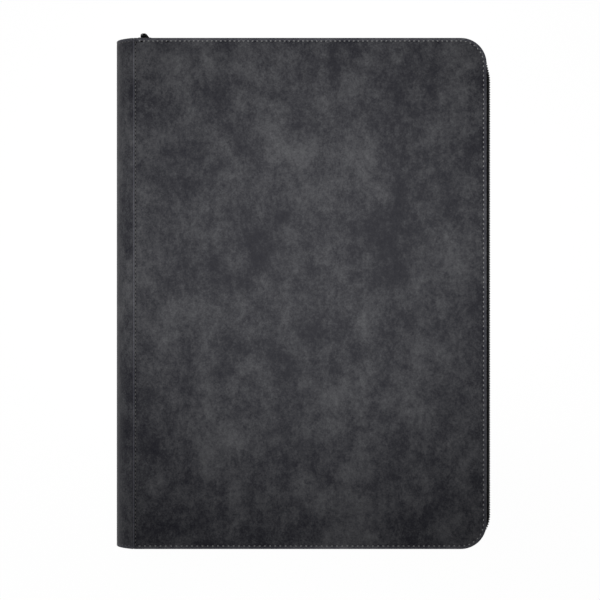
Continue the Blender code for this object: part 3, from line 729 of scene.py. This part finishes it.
# Page comb and backings
# A black plastic strip inside the spine holds the beaded roots of ten stiff pages. Comb and
# pages are black polypropylene, the pages with a fine pebbled face.
def pebbled_material(name, level, roughness, pebbles, depth):
    """Black plastic with a pebbled face: rounded cells from a smooth Voronoi distance."""
    material, tree, shader = surface(name)
    cells = tree.nodes.new("ShaderNodeTexVoronoi")
    cells.feature = "SMOOTH_F1"
    cells.inputs["Scale"].default_value = pebbles
    node_link(tree, stretched(tree, (1, 1, 1)), cells.inputs["Vector"])
    bump(tree, shader, cells.outputs["Distance"], depth, 0.5)
    dust = noise(tree, stretched(tree, (1, 1, 1)), 40, 4, 0.6)
    low, high = (grey(level * 0.85),) * 3, (grey(level * 1.15),) * 3
    node_link(tree, ramp(tree, dust, [(0.35, low), (0.65, high)]), shader.inputs["Base Color"])
    shader.inputs["Roughness"].default_value = roughness
    return material


finish_node("page_comb", pebbled_material("comb_plastic", 30, 0.5, 500, 0.05 * MM))
PAGE_PLASTIC = pebbled_material("page_plastic", 24, 0.42, 1300, 0.04 * MM)
PAGES = [f"page_{number:02d}" for number in range(1, 11)]
for page in PAGES:
    finish_node(page + "_backing", PAGE_PLASTIC)


# Pocket sheets
# Clear film welded to both faces of each page, three by three pockets. Each pocket opens
# along a slit on its spine side, and stands a little proud of the page between its welds.
POCKETS = 3
WELD = 5 * MM
SLIT = 1.5 * MM
FILM = 0.12 * MM
FILM_PUFF = 0.3 * MM
WELD_EDGE = 0.8 * MM


def pocket_lines(length, first_weld, slit):
    """Grid lines over one pocket: at both sides of each weld's edge and of the slit, wide in the field."""
    start, end = first_weld + slit, length - WELD / 2
    field = np.linspace(start + WELD_EDGE, end - WELD_EDGE, 9)
    welds = [0, first_weld * 0.5] + ([first_weld] if slit else [])
    return np.concatenate([welds, [start], field, [end, length - WELD / 4]])


def film_material():
    """Clear film: thin, glossy, a little milky over the pockets and clear where it is welded down."""
    material, tree, shader = surface("pocket_film")
    shader.inputs["Base Color"].default_value = (0.75, 0.77, 0.8, 1)
    shader.inputs["Roughness"].default_value = 0.16
    weld = tree.nodes.new("ShaderNodeAttribute")
    weld.attribute_name = "weld"
    milky = arithmetic(tree, "MULTIPLY_ADD", weld.outputs["Fac"], -0.17, 0.22)
    node_link(tree, milky, shader.inputs["Alpha"])
    ripples = noise(tree, stretched(tree, (1, 1, 1)), 55, 3, 0.5)
    bump(tree, shader, ripples, 0.6 * MM, 0.4)
    return material


CLEAR_FILM = film_material()


def pocket_sheet(page, face, outward):
    """One sheet of film, flat on the page at the welds and swelling between: a product of two arches."""
    node = f"{page}_{face}_pockets"
    low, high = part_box(node)
    column, row = (high.x - low.x) / POCKETS, (high.y - low.y) / POCKETS
    across = pocket_lines(column, WELD, SLIT)
    up = pocket_lines(row, WELD / 2, 0)
    x = np.concatenate([low.x + column * i + across for i in range(POCKETS)] + [[high.x]])
    y = np.concatenate([low.y + row * i + up for i in range(POCKETS)] + [[high.y]])
    share_x = np.clip(((x - low.x) % column - WELD) / (column - 1.5 * WELD), 0, 1)
    share_y = np.clip(((y - low.y) % row - WELD / 2) / (row - WELD), 0, 1)
    arch_x = 1 - (2 * share_x - 1) ** 10
    arch_y = 1 - (2 * share_y - 1) ** 10
    arch = arch_x[None] * arch_y[:, None]
    rest = low.z if outward > 0 else high.z
    z = rest + outward * (FILM + FILM_PUFF * arch)
    marks = {"weld": arch < 0.001}
    points = np.stack(np.broadcast_arrays(x[None], y[:, None], z), -1)
    faces = grid_faces(len(y), len(x))
    middle = points.reshape(-1, 3)[faces].mean(1)
    in_slit = np.abs((middle[:, 0] - low.x) % column - WELD - SLIT / 2) < SLIT / 2
    in_pocket = np.abs((middle[:, 1] - low.y) % row - row / 2) < row / 2 - WELD / 2
    kept = [faces[~(in_slit & in_pocket)]]
    piece = put(node + "_film", points, kept, CLEAR_FILM, page, marks=marks)
    skin = piece.modifiers.new("film_thickness", "SOLIDIFY")
    skin.thickness = FILM
    skin.offset = 0
    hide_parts(node)


for page in PAGES:
    pocket_sheet(page, "front", 1)
    pocket_sheet(page, "back", -1)


# Zip gussets
# A strip of black cloth stands up from each cover's inner edge and carries the zip tape.
# Gussets and tapes bow outwards together, and bulge along the fore-edge, where the zip shows.
gusset_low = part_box("front_gusset")[0]
tape_low, tape_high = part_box("front_zip_tape")
WALL_HALF = 20.4 * MM
WALL_BOW = 4.0 * MM
BULGE_BEND = 20 * MM
BULGE_HEAD_Y = 175 * MM
BULGE_TAIL_Y = -182 * MM
WALL_START = tape_low.x
GUSSET_THICK = 1.0 * MM
GUSSET_BACK = 1.15 * MM
GUSSET_FOOT = WALL_HALF + 0.35 * MM


def bulge(y):
    """How much of its fore-edge reach the zip has at a place: a smooth step from 0 at both corners to 1."""
    beyond = np.maximum(y - BULGE_HEAD_Y, BULGE_TAIL_Y - y)
    share = np.clip(1 - beyond / BULGE_BEND, 0, 1)
    return share**2 * (3 - 2 * share)


def wall_line(out, start_x, end_x, straight=110, corner=30):
    """The zip's way round head, fore-edge and tail, moved outwards by a distance, as (points, 2).

    Straight runs and quarter circles along the cover's edge, each point pushed out by the zip's reach.
    """
    centre_x, centre_y = FORE_X - FORE_CORNER, HEAD_Y - FORE_CORNER
    turn = np.linspace(0, math.pi / 2, corner)[1:-1]
    first = np.stack([np.sin(turn), np.cos(turn)], 1)
    second = first[::-1] * np.array([1, -1])
    head = np.stack([np.linspace(start_x, centre_x, straight), np.full(straight, HEAD_Y)], 1)
    edge = np.stack([np.full(straight, FORE_X), np.linspace(centre_y, -centre_y, straight)], 1)
    tail = np.stack([np.linspace(centre_x, end_x, straight), np.full(straight, -HEAD_Y)], 1)
    round_head = np.array([centre_x, centre_y]) + FORE_CORNER * first
    round_tail = np.array([centre_x, -centre_y]) + FORE_CORNER * second
    base = np.concatenate([head, round_head, edge, round_tail, tail])
    ways = [np.tile(way, (straight, 1)) for way in ([0.0, 1.0], [1.0, 0.0], [0.0, -1.0])]
    outward = np.concatenate([ways[0], first, ways[1], second, ways[2]])
    reach = SIDE_REACH + (FORE_REACH - SIDE_REACH) * bulge(base[:, 1]) + out
    return base + outward * reach[:, None]


def bow(height):
    """The zip wall's offset from its outermost line at a height off the middle plane: a quarter sine."""
    return WALL_BOW * (np.sin(math.pi / 2 * (WALL_HALF - height) / WALL_HALF) - 1)


TAPE_THICK = 0.7 * MM
FORE_REACH = tape_high.x - FORE_X - TAPE_THICK / 2 - bow(tape_low.z - MIDDLE_Z)
SIDE_REACH = tape_high.y - HEAD_Y - TAPE_THICK / 2 - bow(tape_low.z - MIDDLE_Z)


def wall_strip(section, side):
    """A strip round the binder: a closed section of (height, offset) points carried along the wall's line.

    Heights are from the middle plane, up for side 1 and down for -1. Offsets are outwards from the wall.
    """
    offset = bow(section[:, 0]) + section[:, 1]
    lines = np.stack([wall_line(out, WALL_START, WALL_START) for out in offset], 1)
    steps, columns = lines.shape[:2]
    height = np.broadcast_to(section[None, :, 0], (steps, columns))
    points = np.concatenate([lines, (MIDDLE_Z + side * height)[..., None]], 2)
    run = run_along(lines[:, 0])
    uv = np.stack(np.broadcast_arrays(run[:, None], section[None, :, 0]), -1)
    return points, tube_faces(steps, columns), uv, run[-1]


def strip_section(low, high, thickness, offset, steps):
    """Closed section of a flat strip between two heights, with half-round edges."""
    height = np.linspace(low + thickness / 2, high - thickness / 2, steps)
    turn = np.linspace(0, math.pi, 5)[1:-1]
    top = np.stack([height[-1] + thickness / 2 * np.sin(turn), offset + thickness / 2 * np.cos(turn)], 1)
    foot = np.stack([height[0] - thickness / 2 * np.sin(turn), offset - thickness / 2 * np.cos(turn)], 1)
    out_face = np.stack([height, np.full(steps, offset + thickness / 2)], 1)
    in_face = np.stack([height[::-1], np.full(steps, offset - thickness / 2)], 1)
    return np.concatenate([out_face, top, in_face, foot])


GUSSET_CLOTH = cloth_material("gusset_cloth", 12, 26, 0.8 * MM, True)


def gusset(name, side, body, node):
    """One gusset, from the zip tape to the cover's inner face."""
    low = gusset_low.z - MIDDLE_Z
    section = strip_section(low, GUSSET_FOOT, GUSSET_THICK, -GUSSET_BACK, 10)
    points, faces, uv, length = wall_strip(section, side)
    piece = put(name, points, faces, GUSSET_CLOTH, body, uv=uv)
    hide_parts(node)


gusset("front_gusset_cloth", 1, "front_cover", "front_gusset")
gusset("back_gusset_cloth", -1, "back_cover", "back_gusset")


# Zip tapes
# Black woven polyester tape with a corded edge along the teeth, sewn onto each gusset with
# a line of black stitches.
TAPE_LOW = tape_low.z - MIDDLE_Z
TAPE_HIGH = tape_high.z - MIDDLE_Z
TAPE_STITCH_INSET = 2.0 * MM
TAPE_STITCH_PITCH = 3.2 * MM
TAPE_STITCH = (2.2 * MM, 0.25 * MM, 0.2 * MM)  # length, radius and lift
TAPE_STITCH_START = WALL_START + 2 * MM
TAPE_CLOTH = cloth_material("zip_tape_cloth", 8, 20, 0.55 * MM, True)
BLACK_THREAD = plain_material("black_thread", 14, 0.7, 0.2)


def zip_tape(name, side, body, node):
    """One tape, with a line of stitches a little in from its outer edge."""
    points, faces, uv, length = wall_strip(strip_section(TAPE_LOW, TAPE_HIGH, TAPE_THICK, 0, 9), side)
    piece = put(name, points, faces, TAPE_CLOTH, body, uv=uv)
    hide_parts(node)
    height = TAPE_HIGH - TAPE_STITCH_INSET
    out = bow(height) + TAPE_THICK / 2
    line = wall_line(out, TAPE_STITCH_START, TAPE_STITCH_START)
    line = np.column_stack([line, np.full(len(line), MIDDLE_Z + side * height)])
    places, along = even_places(line, TAPE_STITCH_PITCH)
    up = np.cross(along, np.array([0, 0, 1.0]))
    up = up * np.sign((up * places).sum(1))[:, None]
    stitches, stitch_faces = spread(stitch_part(*TAPE_STITCH), places, along, up)
    put(name + "_stitches", stitches, stitch_faces, BLACK_THREAD, body)


zip_tape("front_zip_tape_cloth", 1, "front_cover", "front_zip_tape")
zip_tape("back_zip_tape_cloth", -1, "back_cover", "back_zip_tape")


# Zip teeth and stops
# Moulded black plastic teeth gripping each tape's corded edge, the two rows set half a step
# apart so that their heads interlock. Small metal stops close both ends.
TOOTH_PITCH = 2.0 * MM
STOP_GAP = 0.3 * MM
TEETH_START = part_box("front_zip_teeth")[0].x
TEETH_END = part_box("bottom_stop")[1].x + STOP_GAP
TOOTH_ROOT = 4.2 * MM
ROOT_GRIP = 0.5 * MM
TOOTH_DEPTH = 1.05 * MM
METAL_ROUNDING = 0.2 * MM
BLACK_PLASTIC = plain_material("black_plastic", 6, 0.38, 0.4)
DARK_METAL = plain_material("black_enamel", 4, 0.5, 0.12)


def tooth_part():
    """One tooth: rectangles with cut corners, from a thin root that grips the tape to a wider head.

    The root stays thin as far as the slider's lips reach. Each station is a height with a half length and
    a half depth there.
    """
    station = np.array(
        [
            [0, 0.4 * MM, ROOT_GRIP],
            [0.95 * MM, 0.5 * MM, ROOT_GRIP],
            [1.05 * MM, 0.5 * MM, TOOTH_DEPTH],
            [2.7 * MM, 0.4 * MM, TOOTH_DEPTH - 0.05 * MM],
            [3.5 * MM, 0.5 * MM, TOOTH_DEPTH],
            [4.5 * MM, 0.3 * MM, TOOTH_DEPTH - 0.3 * MM],
        ]
    )
    along = np.array([1, 0.85, -0.85, -1, -1, -0.85, 0.85, 1])
    across = np.array([0.9, 1, 1, 0.9, -0.9, -1, -1, -0.9])
    x = station[:, 1, None] * along[None]
    y = station[:, 2, None] * across[None]
    z = np.broadcast_to(station[:, 0, None], x.shape)
    points = np.stack([x, y, z], -1).reshape(-1, 3)
    return points, tube_faces(*x.shape)


def teeth(name, side, body, node):
    """One row of teeth along the wall's outermost line, the lower row half a step further on."""
    shift = 0 if side > 0 else TOOTH_PITCH / 2
    line = wall_line(0, TEETH_START + shift, TEETH_END + shift, 200, 40)
    line = np.column_stack([line, np.full(len(line), MIDDLE_Z + side * TOOTH_ROOT)])
    places, along = even_places(line, TOOTH_PITCH, end=run_along(line)[-1] % TOOTH_PITCH)
    up = np.broadcast_to(np.array([0, 0, -side], float), places.shape)
    points, faces = spread(tooth_part(), places, along, up)
    piece = put(name, points, faces, BLACK_PLASTIC, body, flat=True)
    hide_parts(node)


teeth("front_teeth_row", 1, "front_cover", "front_zip_teeth")
teeth("back_teeth_row", -1, "back_cover", "back_zip_teeth")


def soften(node, width):
    """A CAD node with its sharp edges rounded a little."""
    mesh = nodes[node].data
    rounding = nodes[node].modifiers.new("rounded_edges", "BEVEL")
    rounding.width = width
    rounding.segments = 3
    rounding.limit_method = "ANGLE"
    rounding.angle_limit = math.radians(35)
    mesh.polygons.foreach_set("use_smooth", np.full(len(mesh.polygons), True))


for stop in ("front_top_stop", "back_top_stop", "bottom_stop"):
    finish_node(stop, DARK_METAL)
    soften(stop, METAL_ROUNDING)


# Slider and puller
# A die-cast slider in black enamel runs on the teeth. An oblong link loops over its bail and
# carries a flat tab to pull by.
for metal in ("slider_body", "puller_link", "puller_tab"):
    finish_node(metal, DARK_METAL)
    soften(metal, METAL_ROUNDING)


# Studio
# A white floor and room under an even soft light, a pool of light on the upper half of the
# front cover, a weaker lamp on the spine's side, and a camera straight above the cover.
FLOOR_SIZE = 30.0
CAMERA_X, CAMERA_Y = -7.85 * MM, -5.3 * MM
CAMERA_ABOVE_COVER = 1420 * MM
FRAME_AT_COVER = 487.0 * MM
SENSOR = 36.0
ROOM_LIGHT = 0.205
POOL_CENTRE = (2 * MM, 52 * MM)
POOL_HEIGHT = 1.65
POOL_RADIUS = 0.298
POOL_POWER = 65
POOL_LAMP_RADIUS = 0.1
SIDE_LAMP_PLACE = (-1.2, 0.1, 0.9)
SIDE_LAMP_AIM = (0, 0, 0.03)
SIDE_LAMP_POWER = 4.6
SIDE_LAMP_SIZE = 1.0
FLOOR_WHITE = 1.045
FLOOR_WHITE_SHARE = 0.93


def floor_material():
    """Nearly white to the camera and to reflections, and a plain pale floor to all other light."""
    material, tree, shader = surface("pale_floor")
    shader.inputs["Base Color"].default_value = (0.9, 0.9, 0.9, 1)
    shader.inputs["Roughness"].default_value = 0.9
    white = tree.nodes.new("ShaderNodeEmission")
    white.inputs["Strength"].default_value = FLOOR_WHITE
    path = tree.nodes.new("ShaderNodeLightPath")
    seen = arithmetic(tree, "MAXIMUM", path.outputs["Is Camera Ray"], path.outputs["Is Glossy Ray"])
    share = arithmetic(tree, "MULTIPLY", seen, FLOOR_WHITE_SHARE)
    mix = tree.nodes.new("ShaderNodeMixShader")
    node_link(tree, share, mix.inputs["Fac"])
    node_link(tree, shader.outputs["BSDF"], mix.inputs[1])
    node_link(tree, white.outputs["Emission"], mix.inputs[2])
    node_link(tree, mix.outputs["Shader"], tree.nodes["Material Output"].inputs["Surface"])
    return material


def lit(name, kind, place, aim, power):
    """A lamp of one kind at a place, turned to face a point. Gives its data."""
    data = bpy.data.lights.new(name, kind)
    data.energy = power
    light = bpy.data.objects.new(name, data)
    bpy.context.scene.collection.objects.link(light)
    light.location = place
    light.rotation_euler = (Vector(aim) - Vector(place)).to_track_quat("-Z", "Y").to_euler()
    return data


half = FLOOR_SIZE / 2
floor_points = [(-half, -half, 0), (half, -half, 0), (half, half, 0), (-half, half, 0)]
floor_mesh = bpy.data.meshes.new("floor")
floor_mesh.from_pydata(floor_points, [], [(0, 1, 2, 3)])
floor_mesh.materials.append(floor_material())
floor = bpy.data.objects.new("floor", floor_mesh)
bpy.context.scene.collection.objects.link(floor)

pool = lit("pool", "SPOT", (*POOL_CENTRE, POOL_HEIGHT), (*POOL_CENTRE, 0), POOL_POWER)
pool.spot_size = 2 * math.atan(POOL_RADIUS / (POOL_HEIGHT - front_high.z))
pool.spot_blend = 1.0
pool.shadow_soft_size = POOL_LAMP_RADIUS
side_lamp = lit("spine_side", "AREA", SIDE_LAMP_PLACE, SIDE_LAMP_AIM, SIDE_LAMP_POWER)
side_lamp.size = SIDE_LAMP_SIZE

world = bpy.data.worlds.new("soft_room")
bpy.context.scene.world = world
world.use_nodes = True
room = world.node_tree
room_light = room.nodes["Background"]
room_light.inputs["Color"].default_value = (1, 1, 1, 1)
room_light.inputs["Strength"].default_value = ROOM_LIGHT
white_wall = room.nodes.new("ShaderNodeBackground")
white_wall.inputs["Color"].default_value = (1, 1, 1, 1)
room_path = room.nodes.new("ShaderNodeLightPath")
room_mix = room.nodes.new("ShaderNodeMixShader")
node_link(room, room_path.outputs["Is Camera Ray"], room_mix.inputs["Fac"])
node_link(room, room_light.outputs["Background"], room_mix.inputs[1])
node_link(room, white_wall.outputs["Background"], room_mix.inputs[2])
node_link(room, room_mix.outputs["Shader"], room.nodes["World Output"].inputs["Surface"])

camera_data = bpy.data.cameras.new("camera")
camera_data.sensor_width = SENSOR
camera_data.lens = SENSOR * CAMERA_ABOVE_COVER / FRAME_AT_COVER
camera = bpy.data.objects.new("camera", camera_data)
bpy.context.scene.collection.objects.link(camera)
camera.location = (CAMERA_X, CAMERA_Y, front_high.z + CAMERA_ABOVE_COVER)
bpy.context.scene.camera = camera
bpy.context.scene.view_settings.view_transform = "Standard"
